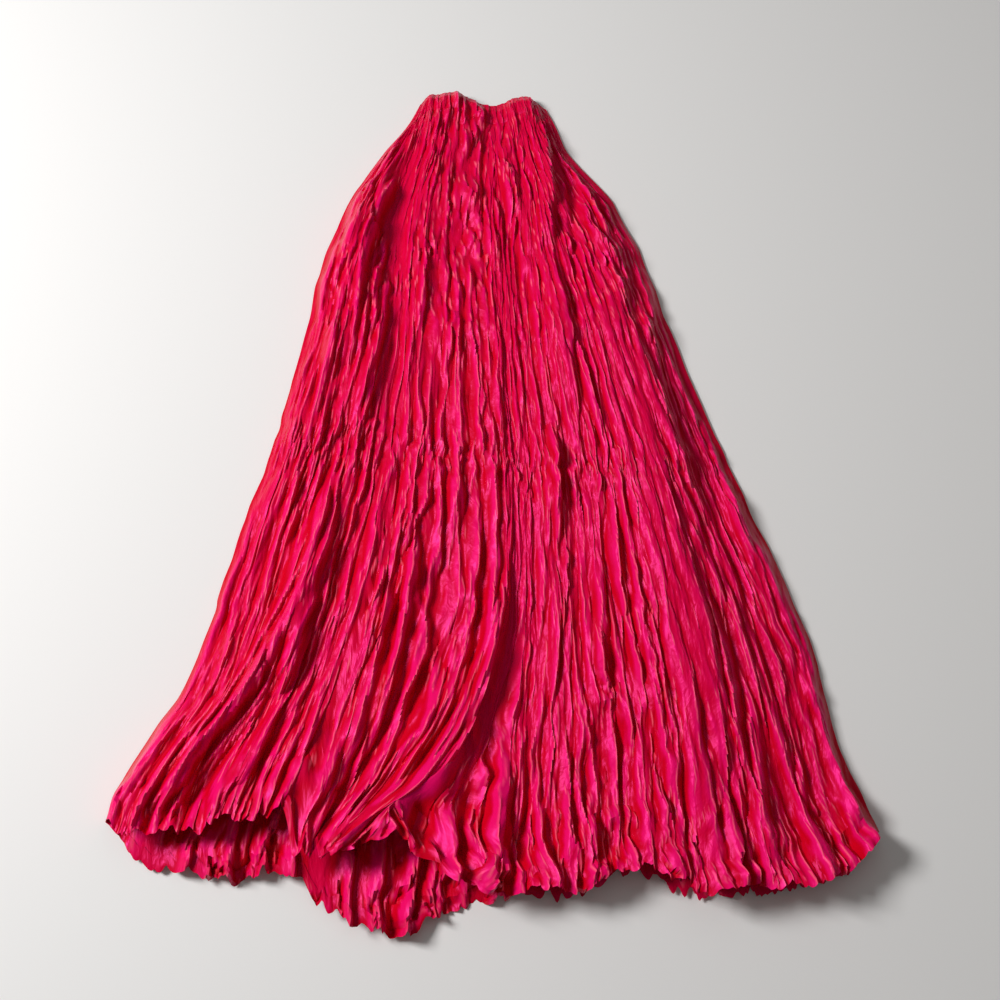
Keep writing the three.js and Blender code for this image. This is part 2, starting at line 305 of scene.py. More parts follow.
def facets(rng, x, down, size):
    """Heights of flat facets between crooked lines that run down the cloth, meet and part again.

    The lines are crests and valleys in turn, and both are lower where lines or columns are closer.
    """
    lines, knot_gap, stray, pleated, uneven = size
    places = np.arange(lines)[:, None] + stray * kinked(rng, lines, down, knot_gap)
    places = np.maximum.accumulate(places, axis=0)
    gaps = np.diff(places, axis=0, prepend=places[:1] - 1, append=places[-1:] + 1)
    room = (np.minimum(gaps[:-1], gaps[1:]) + gaps[:-1] + gaps[1:]) / 3
    turn = np.where(np.arange(lines) % 2, 1, -1)[:, None]
    strength = 1 + FACET_VARIETY * kinked(rng, lines, down, 2 * knot_gap)
    heights = pleated * turn * strength * room + uneven * kinked(rng, lines, down, knot_gap)
    even = np.linspace(0, lines - 1, x.shape[1])
    field = np.array([np.interp(even, place, height) for place, height in zip(places.T, heights.T)])
    reach = PITCH_REACH
    padded = np.pad(x, ((0, 0), (reach, reach)), mode="reflect", reflect_type="odd")
    pitch = (padded[:, 2 * reach:] - padded[:, :-2 * reach]) / (2 * reach) * x.shape[1] / lines
    return field * np.clip(pitch, 0, WIDEST_FACET * np.median(pitch, axis=1, keepdims=True))


# ---------------------------------------------------------------------------------------------
# Creases

# Each size of crease: how many, its width to the left of the crest at mid length, its height as a
# share of that width, where on the cloth its middle may lie, its length as a share of the cloth's,
# how far its crest strays sideways for each millimetre that it runs down, how far its kinks stray,
# and the width to the right of its crest as a share of that to the left.
FRONT_CREASES = (
    # count, width, share, highest, lowest, shortest, longest, slant, kinks, narrowest, widest
    (90, 22, 0.30, -0.05, 1.05, 0.30, 0.90, 0.02, 2.5, 0.30, 0.90),
    (220, 12, 0.50, -0.05, 1.05, 0.08, 0.36, 0.07, 2.2, 0.20, 1.10),
    (500, 7, 0.42, 0.02, 1.03, 0.03, 0.12, 0.13, 1.6, 0.20, 1.10),
    (500, 3.6, 0.34, 0.03, 1.02, 0.015, 0.06, 0.20, 0.8, 0.30, 1.00),
    (700, 7.0, 0.50, 0.00, 0.36, 0.02, 0.06, 0.30, 1.4, 0.20, 1.00),
    (400, 6.5, 0.55, 0.50, 0.56, 0.02, 0.05, 0.25, 1.5, 0.20, 0.80),
    (160, 5.0, 0.45, 0.04, 0.12, 0.02, 0.05, 0.30, 1.2, 0.20, 0.80),
    (70, 17, 0.50, 1.00, 1.05, 0.10, 0.30, 0.08, 2.5, 0.20, 0.70),
    (140, 6, 0.50, 0.99, 1.01, 0.03, 0.07, 0.15, 1.0, 0.30, 0.90),
    (90, 7, 0.50, 0.00, 0.02, 0.04, 0.09, 0.08, 1.0, 0.30, 0.80),
)
BACK_CREASES = (
    (40, 18, 0.20, 0.00, 1.05, 0.30, 0.90, 0.02, 2.5, 0.20, 0.50),
    (50, 13, 0.75, 0.96, 1.04, 0.10, 0.24, 0.10, 3.0, 0.20, 0.70),
    (220, 6, 0.50, 0.90, 1.02, 0.03, 0.10, 0.25, 1.5, 0.20, 0.90),
)
# Each size of flat facet: how many across the cloth, its length as a share of the cloth's, how far
# its edges stray sideways, how far its crests and valleys stand apart and how uneven they are, all
# three as shares of its width.
FRONT_FACETS = (
    # count, length, stray, pleated, uneven
    (96, 0.045, 0.9, 0.36, 0.30),
    (250, 0.022, 0.9, 0.20, 0.25),
)
UPPER_FACETS = (
    (20, 0.05, 1.2, 0.16, 0.32),
    (48, 0.028, 1.1, 0.24, 0.38),
    (110, 0.016, 1.1, 0.20, 0.36),
)
TIE_FACETS = (200, 0.011, 0.9, 0.1, 0.8)
WAIST_FACETS = (56, 0.014, 1.0, 0.2, 0.9)
HEM_FACETS = (60, 0.016, 1.2, 0.15, 0.55)
BACK_HEM_FACETS = (40, 0.018, 1.5, 0.12, 0.8)
BACK_FACETS = (
    (70, 0.06, 0.9, 0.32, 0.25),
    (170, 0.03, 0.9, 0.20, 0.25),
)
SIZE_SPREAD = 0.35  # of the creases of one size, as the spread of their sizes' logarithms
HEIGHT_RANGE = (0.5, 1.25)  # of their heights against those of the table
CROWDING_RANGE = (0.2, 1.3)  # creases are narrower where the columns lie closer, within these limits
CROWDING_POWER = 0.8
TAPER = 3  # a crease rises to its full height over a third of its length, and sinks over another
END_WIDTH = 0.4  # its width at its ends, as a share of that in its middle
LEAST_WIDTH = 0.8
LEAST_STEEP = 0.7
WINDOW = (1.7, 4)  # how far from a crest columns are looked at: so many widths, and these mm more
LONG = 0.1  # creases whose shortest is at least this long are flattened where the pleats are tied
TIE_FLATTENING = 0.5  # share by which they are lower there
LEFT_LEANING = 0.3  # share of the creases whose steep side is the left one
KINK_GAP = 0.015  # down the cloth, between one bend of a crease and the next
LENGTH = 930  # of the laid-out cloth, for slants

# How wide creases are, down the cloth, against those at mid length.
WIDENING = np.array([
    (0.00, 0.5),
    (0.10, 0.6),
    (0.30, 0.75),
    (0.48, 0.85),
    (0.53, 0.7),
    (0.60, 0.95),
    (0.80, 1.2),
    (1.00, 1.5),
])


def crease_list(rng, size):
    """The creases of one size, each with a place and an extent, spread evenly over the cloth."""
    count, width, share, highest, lowest, shortest, longest, slant, kinks, narrow, wide = size
    places = (np.arange(count) + rng.uniform(0, 1, count)) / count
    rng.shuffle(places)
    for place in places:
        length = rng.uniform(shortest, longest)
        middle = rng.uniform(highest, lowest)
        grown = rng.lognormal(0, SIZE_SPREAD)
        yield {
            "across": place,
            "from": middle - length / 2,
            "to": middle + length / 2,
            "width": width * grown,
            "height": width * grown * share * rng.uniform(*HEIGHT_RANGE),
            "steep": rng.uniform(narrow, wide),
            "leans left": rng.uniform() < LEFT_LEANING,
            "slant": rng.uniform(-1, 1) * slant * length * LENGTH,
            "kinks": rng.uniform(-1, 1, 2 + int(length / KINK_GAP)) * kinks,
        }


def lay_crease(detail, x, down, crease):
    """Raise the heights in detail to at least those of one crease."""
    rows = np.nonzero((down > crease["from"]) & (down < crease["to"]))[0]
    if len(rows) < 2:
        return
    columns = x.shape[1]
    at = (down[rows] - crease["from"]) / (crease["to"] - crease["from"])
    place = np.clip(crease["across"] * (columns - 1), 0, columns - 2)
    k = int(place)
    f = place - k
    near, far = max(k - PITCH_REACH, 0), min(k + PITCH_REACH, columns - 1)
    pitch = (x[rows, far] - x[rows, near]) / (far - near)
    crowding = pitch * (columns - 1) / (x[rows, -1] - x[rows, 0])
    scale = along(WIDENING, 1, down[rows]) * np.clip(crowding, *CROWDING_RANGE) ** CROWDING_POWER
    taper = np.minimum(1, TAPER * np.minimum(at, 1 - at))
    broad = np.maximum(crease["width"] * scale * (END_WIDTH + (1 - END_WIDTH) * taper), LEAST_WIDTH)
    steep = np.maximum(broad * crease["steep"], LEAST_STEEP)
    left, right = (steep, broad) if crease["leans left"] else (broad, steep)
    crest = x[rows, k] * (1 - f) + x[rows, k + 1] * f
    kinks = np.interp(at, np.linspace(0, 1, len(crease["kinks"])), crease["kinks"])
    crest = crest + scale * (crease["slant"] * (at - 0.5) + kinks)
    reach = WINDOW[0] * broad.max() + WINDOW[1]
    first = np.searchsorted(x[rows].max(0), crest.min() - reach)
    last = np.searchsorted(x[rows].min(0), crest.max() + reach)
    first, last = max(first - 1, 0), min(last + 1, columns)
    if last - first < 2:
        return
    offset = x[rows, first:last] - crest[:, None]
    rise = np.clip(1 + offset / left[:, None], 0, 1)
    fall = np.clip(1 - offset / right[:, None], 0, 1)
    shape = np.where(offset < 0, rise, fall)
    height = crease["height"] * scale * taper
    part = detail[rows, first:last]
    detail[rows, first:last] = np.maximum(part, height[:, None] * shape)


def crease_height(rng, x, down, sizes):
    """The height that creases of all sizes add at each point of a grid with those x."""
    total = np.zeros_like(x)
    tie = tie_at(down)
    for size in sizes:
        detail = np.zeros_like(x)
        for crease in crease_list(rng, size):
            lay_crease(detail, x, down, crease)
        shortest = size[5]
        flattened = TIE_FLATTENING if shortest >= LONG else 0
        total += detail * (1 - flattened * tie)[:, None]
    return total


# ---------------------------------------------------------------------------------------------
# Folds

SWELL_POWER = 0.7  # below 1, a fold keeps its height for longer between its ends

# The largest folds of the front panel, one by one. Each runs from one place on the cloth to another,
# and its rise, its width to the left and its width to the right are in millimetres.
FOLDS = (
    # from down, across; to down, across; rise, left, right
    ("upper left ridge", 0.03, 0.08, 0.42, 0.13, 19, 38, 9),
    ("upper left ridge, lower end", 0.30, 0.07, 0.62, 0.065, 14, 26, 10),
    ("upper left trough", 0.05, 0.10, 0.38, 0.235, -18, 9, 22),
    ("upper left trough, lower end", 0.30, 0.20, 0.64, 0.30, -9, 12, 20),
    ("upper right ridge", 0.02, 0.90, 0.24, 0.685, 17, 22, 5),
    ("upper right ridge, lower end", 0.18, 0.705, 0.46, 0.67, 13, 20, 6),
    ("hollow beside it", 0.04, 0.93, 0.32, 0.715, -8, 4, 16),
    ("waist dip", 0.00, 0.50, 0.16, 0.50, -7, 12, 12),
    ("right shoulder", 0.12, 0.86, 1.10, 0.83, 28, 90, 62),
    ("sweeping fold", 0.66, 0.503, 1.14, 0.482, 14, 16, 5),
    ("hollow beside it", 0.66, 0.515, 0.90, 0.515, -6, 8, 24),
    ("lower left fold", 0.66, 0.19, 1.04, 0.03, 20, 24, 10),
    ("corner pouch", 0.90, 0.045, 1.08, 0.035, 13, 14, 12),
    ("lower left trough", 0.78, 0.23, 1.00, 0.09, -6, 12, 12),
    ("middle trough", 0.56, 0.56, 0.97, 0.545, -8, 14, 26),
    ("upper middle trough", 0.36, 0.565, 0.56, 0.545, -5, 6, 8),
    ("lower trough", 0.74, 0.682, 1.02, 0.68, -8, 10, 10),
    ("lower right trough", 0.76, 0.735, 0.98, 0.722, -6, 8, 8),
    ("left inner trough", 0.62, 0.30, 0.80, 0.34, -6, 9, 9),
    ("middle hem hollow", 0.86, 0.565, 1.04, 0.572, -7, 7, 7),
    ("middle hem fold", 0.86, 0.575, 1.06, 0.598, 11, 13, 4),
    ("centre hem fold", 0.90, 0.64, 1.06, 0.648, 9, 11, 4),
    ("right hem fold, inner", 0.80, 0.785, 1.06, 0.802, 10, 18, 5),
    ("right hem hollow, inner", 0.78, 0.815, 1.05, 0.835, -8, 7, 9),
    ("right hem fold, middle", 0.86, 0.86, 1.06, 0.872, 10, 14, 4),
    ("right hem hollow, outer", 0.82, 0.895, 1.05, 0.905, -7, 9, 8),
    ("right hem fold, outer", 0.80, 0.925, 1.06, 0.94, 10, 16, 5),
)
# Folds side by side: short ones that run out to the left corner of the hem, slender ribs that sweep
# out to it too, and the ribs of the sweeping fold. First how many there are, how much lower each
# next one starts and after how many that begins anew. Then the first fold and each one's step.
FOLD_ROWS = (
    (3, 0.01, 3, (0.86, 0.032, 1.06, 0.012, 20, 7, 3), (0, 0.028, 0, 0.028, -4, 0, 0)),
    (5, 0.03, 2, (0.66, 0.15, 1.06, 0.02, 8, 6, 2), (0, 0.018, 0, 0.0144, -1, 0, 0)),
    (6, 0.02, 3, (0.64, 0.515, 1.06, 0.483, 6, 7, 2), (0, -0.014, 0, -0.014, -0.5, 0, 0)),
)
# The folds of the back panel, where it runs on below the front one.
BACK_FOLDS = (
    ("trailing fold, left", 0.90, 0.305, 1.06, 0.325, 9, 9, 3),
    ("trailing fold, middle", 0.90, 0.345, 1.06, 0.358, 13, 11, 4),
    ("trailing fold, right", 0.90, 0.40, 1.06, 0.385, 10, 12, 4),
    ("trailing fold, far right", 0.91, 0.44, 1.06, 0.43, 9, 9, 5),
    ("flute, far left", 0.90, 0.115, 1.06, 0.10, 9, 9, 3),
    ("flute, left", 0.90, 0.15, 1.06, 0.162, 11, 12, 3),
    ("flute", 0.90, 0.21, 1.06, 0.198, 12, 8, 3),
    ("flute, right", 0.90, 0.24, 1.06, 0.248, 9, 12, 3),
)


def front_folds():
    """The folds of the table and those side by side, each without its name."""
    yield from (fold[1:] for fold in FOLDS)
    for count, later, cycle, first, step in FOLD_ROWS:
        for number in range(count):
            fold = [value + number * change for value, change in zip(first, step)]
            fold[0] += later * (number % cycle)
            yield fold


def fold_height(down, x, nominal, folds):
    """The height of the listed folds on a grid, whose nominal places across are a row."""
    total = np.zeros_like(x)
    for from_down, from_across, to_down, to_across, rise, to_left, to_right in folds:
        at = (down - from_down) / (to_down - from_down)
        rows = np.nonzero((at > 0) & (at < 1))[0]
        place = from_across + (to_across - from_across) * at[rows]
        middle = np.array([np.interp(p, nominal, x[r]) for p, r in zip(place, rows)])
        offset = x[rows] - middle[:, None]
        width = np.where(offset < 0, to_left, to_right)
        swell = np.sin(math.pi * at[rows]) ** SWELL_POWER
        total[rows] += rise * swell[:, None] * np.exp(-((offset / width) ** 2))
    return total


def hem_scallops(rng, columns):
    """How far the hem runs on at each column, or falls short below 0: pointed, uneven waves."""
    at = np.linspace(0, 1, columns)
    waves = np.zeros(columns)
    for count, size in HEM_WAVES:
        knots = np.linspace(0, 1, count)
        phase = np.interp(at, knots, np.cumsum(rng.uniform(*WAVE_LENGTHS, count)))
        strength = np.interp(at, knots, rng.uniform(*WAVE_HEIGHTS, count))
        waves += size * strength * (np.abs(np.sin(math.pi * phase)) - MEAN_WAVE)
    return waves


def uneven_edges(down):
    """How far the two side seams stray from the fan's edges: the same for the front and the back."""
    rng = np.random.default_rng(SEED + 2)
    places = np.linspace(0, 1, 200)
    stray = sum(reach * kinked(rng, 2, places, run) for reach, run in SEAM_STRAYS)
    stray *= smooth(*SEAM_STRAYS_DOWN, places) * (1 - smooth(*SEAM_STRAYS_UNTIL, places))
    return np.interp(down, places, stray[0])[:, None], np.interp(down, places, stray[1])[:, None]


def make_front(columns, rows):
    """The whole front, waistband to hem: its rows' places and x, y and z of a grid of points."""
    rng = np.random.default_rng(SEED)
    nominal = column_places(columns)
    even = np.linspace(0, 1, columns)
    down = np.concatenate([
        np.linspace(0, BAND_END, BAND_ROWS, endpoint=False),
        np.linspace(BAND_END, HEM_START, rows - BAND_ROWS - HEM_ROWS, endpoint=False),
        np.linspace(HEM_START, 1, HEM_ROWS),
    ])
    inside = np.sin(math.pi * nominal) ** EDGE_CALM
    tie = tie_at(down)
    pucker = around(down, PUCKER, PUCKER_REACH)
    upper = 1 - smooth(*UPPER_UNTIL, down)
    hem_edge = smooth(*EDGE_DOWN, down)
    strengths = (np.ones_like(down), 1 + tie, 1 + 2 * tie + 2 * pucker, hem_edge)
    shift = sum(
        reach * wander(rng, down, even, lines, run) * strength[:, None]
        for (reach, lines, run), strength in zip(FRONT_STRAYS, strengths)
    )
    width = along(SECTIONS, RIGHT_SEAM, down) - along(SECTIONS, LEFT_SEAM, down)
    shift *= ((width[-1] / width) ** NARROW_STRAY)[:, None]
    across = np.clip(nominal[None, :] + shift * inside, 0, 1)
    x = fan_x(down, across)
    left_stray, right_stray = uneven_edges(down)
    x += left_stray * (1 - nominal) ** SEAM_HOLD + right_stray * nominal**SEAM_HOLD
    top = along(WAIST, 1, across)
    hem = along(FRONT_HEM, 1, across)
    y = top + (hem - top) * down[:, None]
    waves = FRONT_WAVES + LEFT_WAVES * (1 - smooth(*LEFT_WAVES_UNTIL, nominal))
    y -= (hem_scallops(rng, columns) * waves)[None, :] * hem_edge[:, None] * inside

    detail = crease_height(rng, x, down, FRONT_CREASES)
    detail += sum(facets(rng, x, down, size) for size in FRONT_FACETS)
    detail *= 1 + HEM_STRENGTH * smooth(*HEM_CREASES_DOWN, down)[:, None]
    detail *= (1 - UPPER_CALM * upper)[:, None]
    detail += sum(facets(rng, x, down, size) for size in UPPER_FACETS) * upper[:, None]
    detail += facets(rng, x, down, TIE_FACETS) * tie[:, None]
    detail += facets(rng, x, down, WAIST_FACETS) * pucker[:, None]
    detail += facets(rng, x, down, HEM_FACETS) * smooth(*FRONT_HEM_DOWN, down)[:, None]

    flank = EDGE_ROLL + RIGHT_FLANK * smooth(*FLANK_DOWN, down)[:, None]
    beside = np.minimum(x - x[:, :1], x[:, -1:] - x)
    inwards = np.clip(np.minimum((x - x[:, :1]) / EDGE_ROLL, (x[:, -1:] - x) / flank), 0, 1)
    share = 1 - (1 - inwards) ** ROLL_POWER
    lift = along(FRONT_HEM, 2, across) * smooth(*LIFT_DOWN, down)[:, None]
    hump = along(WAIST, 2, across) * (1 - smooth(*HUMP_UNTIL, down))[:, None]
    loft = along(SECTIONS, LOFT, down)[:, None] - CREASE_ROOM
    folds = fold_height(down, x, nominal, front_folds())
    z = SEAM_HEIGHT + share * (loft + folds + lift + hump)
    z += np.minimum(1, beside / BARE_EDGE) * detail
    x = x + LEAN * detail * inwards * smooth(*LEAN_DOWN, down)[:, None]

    near_seam = np.minimum(1, beside / GAP_RUN)
    floor = SEAM_HEIGHT + LEAST_GAP * near_seam
    sink = SINK[0] + (SINK[1] - SINK[0]) * near_seam
    z = floor + sink * np.logaddexp(0, (z - floor) / sink)
    z -= (1 - CREST_SQUASH) * np.maximum(z - TALL, 0)
    z -= WAIST_TURN * z * (1 - smooth(*WAIST_EDGE, down))[:, None]
    groove = CASING_GROOVE * around(down, BAND_END, GROOVE_REACH)[:, None]
    z -= groove * np.minimum(1, GROOVE_INSET * inwards)
    return down, x, y, z


def make_back(columns, rows):
    """The back panel and its band, on the surface: rows' places and x, y and z of its points."""
    rng = np.random.default_rng(SEED + 1)
    even = np.linspace(0, 1, columns)
    down = np.concatenate([
        np.linspace(0, BAND_END, BAND_ROWS // 2, endpoint=False),
        np.linspace(BAND_END, HEM_START, rows - BAND_ROWS // 2 - HEM_ROWS, endpoint=False),
        np.linspace(HEM_START, 1, HEM_ROWS),
    ])
    inside = np.sin(math.pi * even) ** EDGE_CALM
    shift = sum(reach * wander(rng, down, even, lines, run) for reach, lines, run in BACK_STRAYS)
    across = np.clip(even[None, :] + shift * inside, 0, 1)
    left_stray, right_stray = uneven_edges(down)
    left_edge = along(SECTIONS, LEFT_SEAM, down)[:, None] + left_stray
    right_edge = along(SECTIONS, RIGHT_SEAM, down)[:, None] + right_stray
    x = left_edge + (right_edge - left_edge) * across
    top = along(WAIST, 1, across)
    hem = along(BACK_HEM, 1, across)
    y = top + (hem - top) * down[:, None]
    waves = BACK_WAVES * hem_scallops(rng, columns)
    y -= waves[None, :] * smooth(*EDGE_DOWN, down)[:, None] * inside

    detail = crease_height(rng, x, down, BACK_CREASES)
    detail += sum(facets(rng, x, down, size) for size in BACK_FACETS)
    detail += facets(rng, x, down, BACK_HEM_FACETS) * smooth(*BACK_HEM_DOWN, down)[:, None]
    bare = smooth(*TRAIL_LEFT, even) * (1 - smooth(*TRAIL_RIGHT, even))
    ceiling = BACK_CREASES_TOP + TRAIL_TOP * smooth(*TRAIL_DOWN, down)[:, None] * bare[None, :]
    low = np.clip(detail, 0, ceiling)
    low += fold_height(down, x, even, (fold[1:] for fold in BACK_FOLDS))

    inwards = np.clip(np.minimum(x - left_edge, right_edge - x) / BACK_ROLL, 0, 1)
    rolled = 1 - np.sqrt(1 - (1 - inwards) ** 2)
    z = BACK_HEIGHT + (SEAM_HEIGHT - BACK_HEIGHT) * rolled + low * inwards
    x = x + LEAN * low * inwards
    return down, x, y, z


# ---------------------------------------------------------------------------------------------
# Meshes

CUT_WIDTH = 1.9  # in metres, at the hem, of the whole cut of a panel, which is its UV map
CUT_TAPER = 0.5  # its width at the waist as a share of that
CUT_LENGTH = 1.0
CRISP_FROM = 28  # degrees between two faces from which the edge between them is a sharp crease


def sheet_mesh(name, x, y, z, painted_light, down, material, fine_from=0):
    """A piece of cloth from a grid of points, with its cut as UV map and its painted shade, highlights
    and glints as colours.

    Rows before fine_from use every other column only.
    """
    rows, columns = x.shape
    used = np.ones((rows, columns), dtype=bool)
    used[:fine_from, 1::2] = False
    index = np.cumsum(used.reshape(-1)).reshape(rows, columns) - 1
    coarse, fine = index[:fine_from, ::2], index[fine_from:]
    faces = []
    for block in (coarse, fine):
        if len(block) > 1:
            quads = np.stack([block[:-1, :-1], block[1:, :-1], block[1:, 1:], block[:-1, 1:]], axis=-1)
            faces += quads.reshape(-1, 4).tolist()
    if fine_from:
        above, below = coarse[-1], fine[0]
        joints = (above[:-1], below[:-1:2], below[1::2], below[2::2], above[1:])
        faces += np.stack(joints, axis=-1).tolist()
    points = np.stack([x + CENTRING[0], y + CENTRING[1], z], axis=-1)[used] * MM
    mesh = bpy.data.meshes.new(name)
    mesh.from_pydata(points.tolist(), [], faces)
    mesh.polygons.foreach_set("use_smooth", np.ones(len(faces), dtype=bool))
    mesh.set_sharp_from_angle(angle=math.radians(CRISP_FROM))
    tapered = CUT_WIDTH * (CUT_TAPER + (1 - CUT_TAPER) * down)
    u = tapered[:, None] * np.linspace(-0.5, 0.5, columns)
    v = np.broadcast_to(((1 - down) * CUT_LENGTH)[:, None], (rows, columns))
    cut = np.stack([u, v], axis=-1)[used]
    corners = np.empty(len(mesh.loops), dtype=np.int32)
    mesh.loops.foreach_get("vertex_index", corners)
    layer = mesh.uv_layers.new(name="cut")
    layer.data.foreach_set("uv", cut[corners].reshape(-1))
    # The painted shade, highlights and glints, as colours of the points.
    shade = mesh.color_attributes.new("painted_light", "FLOAT_COLOR", "POINT")
    shade.data.foreach_set("color", painted_light[used].reshape(-1))
    mesh.materials.append(material)
    piece = bpy.data.objects.new(name, mesh)
    bpy.context.scene.collection.objects.link(piece)
    return piece


# Painted light: the valleys are painted darker, the crests lighter, and a crest's sharp edge gets a
# painted glint.
RELIEF_REACHES = (2, 4, 7)  # columns, to either side, whose mean height a point is compared with
RELIEF_HEIGHT = 4  # from the deepest shade to the brightest
GLINT_COLUMNS = 3  # columns over which the drop beside a crest is measured
GLINT_DROP = (0.6, 1.8)  # the drop from which a crest's painted glint starts to show and shows fully
GLINT_INSET = (7.5, 32.5)  # how far in from a side seam it starts to show and shows fully
GLINT_SPARSE = 6  # the spacing of columns at which the painted glints are gone; up to 1 mm they show fully
LEAST_SPACING = 0.1  # of columns, where they lie over each other


def painted_light_of(x, z):
    """Red is painted shade and highlight, 0 in the valleys and 1 on the crests; green is a painted
    glint, 1 on a crest's sharp edge, else 0.
    """
    # Painted shade and highlight: how far a point stands above or below the mean of the columns beside
    # it.
    total = z.copy()
    for reach in RELIEF_REACHES:
        total += np.roll(z, reach, axis=1) + np.roll(z, -reach, axis=1)
    mean = total / (1 + 2 * len(RELIEF_REACHES))
    height = np.clip(0.5 + (z - mean) / RELIEF_HEIGHT, 0, 1)
    # Crests that stand sharply above the columns beside them get a painted glint along their edge.
    top = (z >= np.roll(z, -1, axis=1)) & (z >= np.roll(z, 1, axis=1))
    lower = np.minimum(np.roll(z, -GLINT_COLUMNS, axis=1), np.roll(z, GLINT_COLUMNS, axis=1))
    edge = np.where(top, smooth(*GLINT_DROP, z - lower), 0)
    spacing = np.maximum(np.gradient(x, axis=1), LEAST_SPACING)
    edge *= np.clip((GLINT_SPARSE / spacing - 1) / (GLINT_SPARSE - 1), 0, 1)
    beside = np.minimum(x - x[:, :1], x[:, -1:] - x)
    edge *= np.clip((beside - GLINT_INSET[0]) / (GLINT_INSET[1] - GLINT_INSET[0]), 0, 1)
    return np.stack([height, edge, np.zeros_like(z), np.ones_like(z)], axis=-1)


# ---------------------------------------------------------------------------------------------
# Material

WARP_SCALE = 60  # how fine the noise is that bends the crinkles
WARP = 0.014  # how far it bends them, in metres of the cut
# How many crinkles in a metre of the cut, across and down, and their height in metres.
COARSE_CRINKLES = ((75, 60, 1), 0.00052)
FINE_CRINKLES = ((190, 160, 1), 0.0002)


def crinkle_bump(nodes, links, cut, scale, height):
    """A bump of crinkles that are a little longer down the cloth than across it."""
    stretch = nodes.new("ShaderNodeMapping")
    stretch.inputs["Scale"].default_value = scale
    warp = nodes.new("ShaderNodeTexNoise")
    warp.inputs["Scale"].default_value = WARP_SCALE
    links.new(cut.outputs["UV"], warp.inputs["Vector"])
    bent = nodes.new("ShaderNodeVectorMath")
    bent.operation = "MULTIPLY_ADD"
    bent.inputs[1].default_value = (WARP, WARP, 0)
    links.new(warp.outputs["Color"], bent.inputs[0])
    links.new(cut.outputs["UV"], bent.inputs[2])
    links.new(bent.outputs["Vector"], stretch.inputs["Vector"])
    crinkles = nodes.new("ShaderNodeTexVoronoi")
    crinkles.inputs["Scale"].default_value = 1
    links.new(stretch.outputs["Vector"], crinkles.inputs["Vector"])
    bump = nodes.new("ShaderNodeBump")
    bump.inputs["Strength"].default_value = 1
    bump.inputs["Distance"].default_value = height
    links.new(crinkles.outputs["Distance"], bump.inputs["Height"])
    return bump


def satin(name, painted_shade, middle, painted_highlight, painted_glint):
    """Crinkled satin with fine crinkles: painted shade, darker and redder, in the valleys, a painted
    highlight, pinker, on the crests, and a painted glint on a crest's sharp edge.
    """
    material = bpy.data.materials.new(name)
    material.use_nodes = True
    nodes, links = material.node_tree.nodes, material.node_tree.links
    shader = nodes["Principled BSDF"]
    shader.inputs["Roughness"].default_value = 0.34
    shader.inputs["Sheen Weight"].default_value = 0.06
    shader.inputs["Sheen Roughness"].default_value = 0.45
    shader.inputs["Sheen Tint"].default_value = (1, 0.03, 0.25, 1)
    shader.inputs["Specular IOR Level"].default_value = 0.38
    shader.inputs["Specular Tint"].default_value = (1, 0.08, 0.5, 1)
    cut = nodes.new("ShaderNodeUVMap")
    cut.uv_map = "cut"
    painted_light = nodes.new("ShaderNodeVertexColor")
    painted_light.layer_name = "painted_light"
    parts = nodes.new("ShaderNodeSeparateColor")
    links.new(painted_light.outputs["Color"], parts.inputs["Color"])
    # Painted shade in the valleys and a painted highlight on the crests, from the red of the painted
    # light.
    ramp = nodes.new("ShaderNodeValToRGB")
    ramp.color_ramp.elements[0].position = 0.2
    ramp.color_ramp.elements[0].color = painted_shade
    ramp.color_ramp.elements[1].position = 0.85
    ramp.color_ramp.elements[1].color = painted_highlight
    centre = ramp.color_ramp.elements.new(0.5)
    centre.color = middle
    links.new(parts.outputs["Red"], ramp.inputs["Fac"])
    # A painted glint along a crest's sharp edge, from the green of the painted light.
    glint_mix = nodes.new("ShaderNodeMix")
    glint_mix.data_type = "RGBA"
    glint_mix.inputs["B"].default_value = painted_glint
    links.new(parts.outputs["Green"], glint_mix.inputs["Factor"])
    links.new(ramp.outputs["Color"], glint_mix.inputs["A"])
    links.new(glint_mix.outputs["Result"], shader.inputs["Base Color"])
    coarse = crinkle_bump(nodes, links, cut, *COARSE_CRINKLES)
    fine = crinkle_bump(nodes, links, cut, *FINE_CRINKLES)
    links.new(coarse.outputs["Normal"], fine.inputs["Normal"])
    links.new(fine.outputs["Normal"], shader.inputs["Normal"])
    return material


# Each satin's darkest colour is painted shade, its brightest a painted highlight and its last a
# painted glint; the middle one is its own crimson.
OUTER = satin(
    "crimson_satin",
    painted_shade=(0.56, 0, 0.010, 1),
    middle=(0.64, 0.0003, 0.038, 1),
    painted_highlight=(0.78, 0.003, 0.118, 1),
    painted_glint=(1, 0.12, 0.19, 1),
)
INNER = satin(
    "crimson_satin_inside",
    painted_shade=(0.50, 0, 0.014, 1),
    middle=(0.60, 0.0005, 0.036, 1),
    painted_highlight=(0.72, 0.003, 0.085, 1),
    painted_glint=(0.9, 0.1, 0.15, 1),
)

# ---------------------------------------------------------------------------------------------
# Pieces

FRONT_GRID = (777, 160)  # columns and rows of points
BACK_GRID = (421, 130)
FINE_FROM = 0.35  # where down a cloth its mesh gets twice the columns that it has above

HEM_RISE = 0.7  # of the turned hem over the cloth that it is turned onto


def normals(x, y, z):
    """The unit normals of a grid of points, upwards, as a grid of vectors."""
    points = np.stack([x, y, z], axis=-1)
    run_down = np.gradient(points, axis=0)
    run_across = np.gradient(points, axis=1)
    upright = np.cross(run_down, run_across)
    return upright / np.linalg.norm(upright, axis=-1, keepdims=True)


